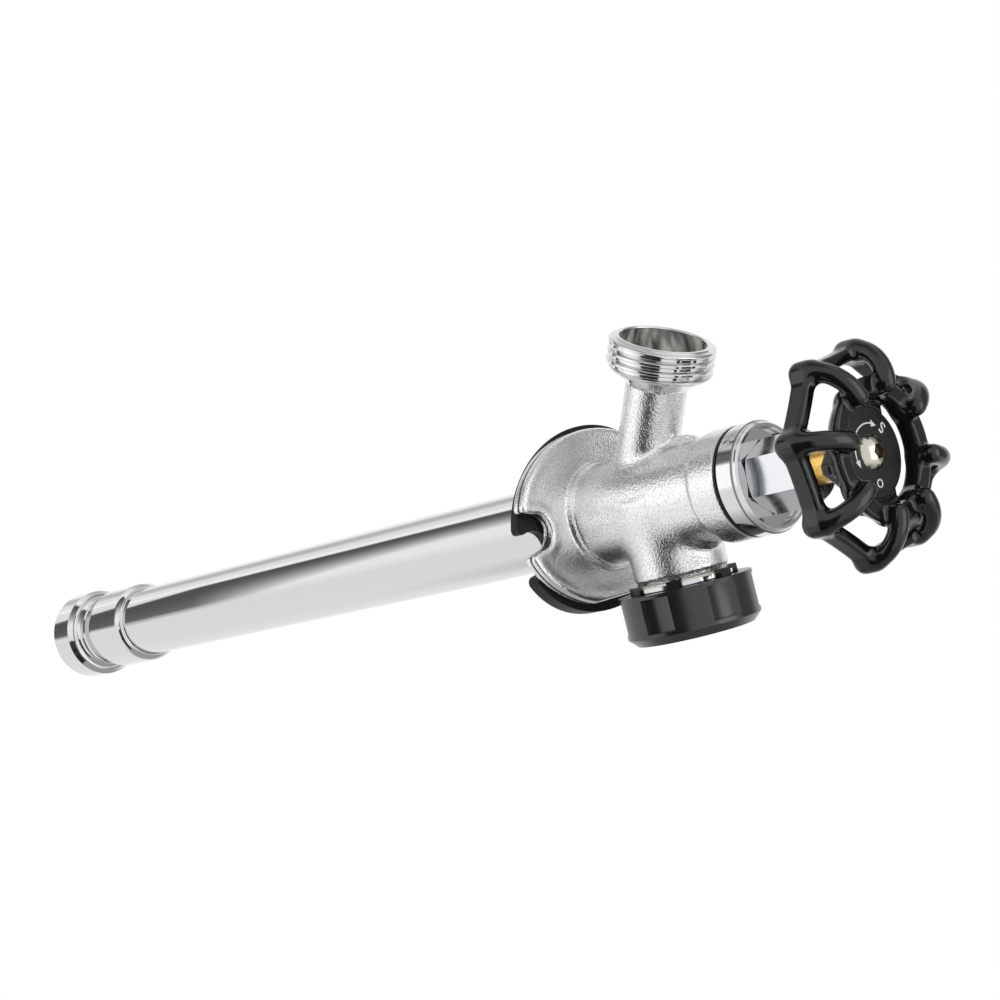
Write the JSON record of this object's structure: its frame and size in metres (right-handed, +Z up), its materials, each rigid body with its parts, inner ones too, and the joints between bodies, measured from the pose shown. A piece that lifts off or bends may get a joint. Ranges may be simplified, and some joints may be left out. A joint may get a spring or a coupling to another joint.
{
  "type": "frost free sillcock",
  "caption": "Chrome frost free sillcock with a black handwheel, a threaded hose nozzle, a vacuum breaker, a wall flange with a wedge and a long supply tube.",
  "frame": {"origin": "where the supply tube's axis passes through the face of the wall", "axes": "+Y along the tube into the wall, -Y towards the handwheel, +Z up with the vacuum breaker on top, the hose nozzle pointing down and forward"},
  "size_m": [0.0574, 0.3494, 0.0787],
  "materials": {
    "chrome": "polished chrome plate on brass and copper",
    "cast_chrome": "chrome plate over a fine cast grain",
    "brass": "machined brass",
    "black_enamel": "glossy black enamel on a zinc casting",
    "index_paint": "black plate with white marks",
    "screw_nickel": "nickel plate",
    "screw_steel": "stainless steel",
    "cap_plastic": "satin moulded plastic",
    "wedge_plastic": "soft matt plastic",
    "guide_plastic": "natural acetal",
    "poppet_plastic": "natural acetal",
    "rubber": "matt",
    "packing": "graphited packing"
  },
  "bodies": {
    "valve_body": {"body_casting": "cast_chrome", "supply_tube": "chrome", "inlet_fitting": "chrome", "wall_wedge": "wedge_plastic", "bonnet": "chrome", "bonnet_gasket": "rubber", "packing_nut": "chrome", "stem_packing": "packing", "packing_washer": "brass", "breaker_insert": "chrome", "insert_gasket": "rubber", "insert_o_ring": "rubber", "poppet_seat": "brass", "breaker_cap": "cap_plastic"},
    "washer_carriage": {"washer_holder": "brass", "seat_washer": "rubber", "washer_screw": "screw_steel", "holder_clip": "screw_steel"},
    "handle_and_stem": {"handwheel": "black_enamel", "index_plate": "index_paint", "handle_screw": "screw_nickel", "stem_screw": "brass", "stem_o_ring": "rubber", "stem_rod": "brass", "stem_pin": "screw_steel", "stem_guide": "guide_plastic"},
    "poppet": {"breaker_poppet": "poppet_plastic", "poppet_seal": "rubber"}
  },
  "joints": [
    {"name": "valve_lift", "type": "slide", "parent": "valve_body", "child": "washer_carriage", "axis": [0, -1, 0], "range_m": [0, 0.00635]},
    {"name": "handle_turn", "type": "hinge", "parent": "washer_carriage", "child": "handle_and_stem", "pos_m": [0, -0.09, 0], "axis": [0, -1, 0], "range_deg": [0, 1080]},
    {"name": "poppet_rise", "type": "slide", "parent": "valve_body", "child": "poppet", "axis": [0, 0, 1], "range_m": [0, 0.0025]}
  ],
  "couplings": [
    {"joint": "handle_turn", "follows": "valve_lift", "rad_per_m": 2968.3}
  ]
}
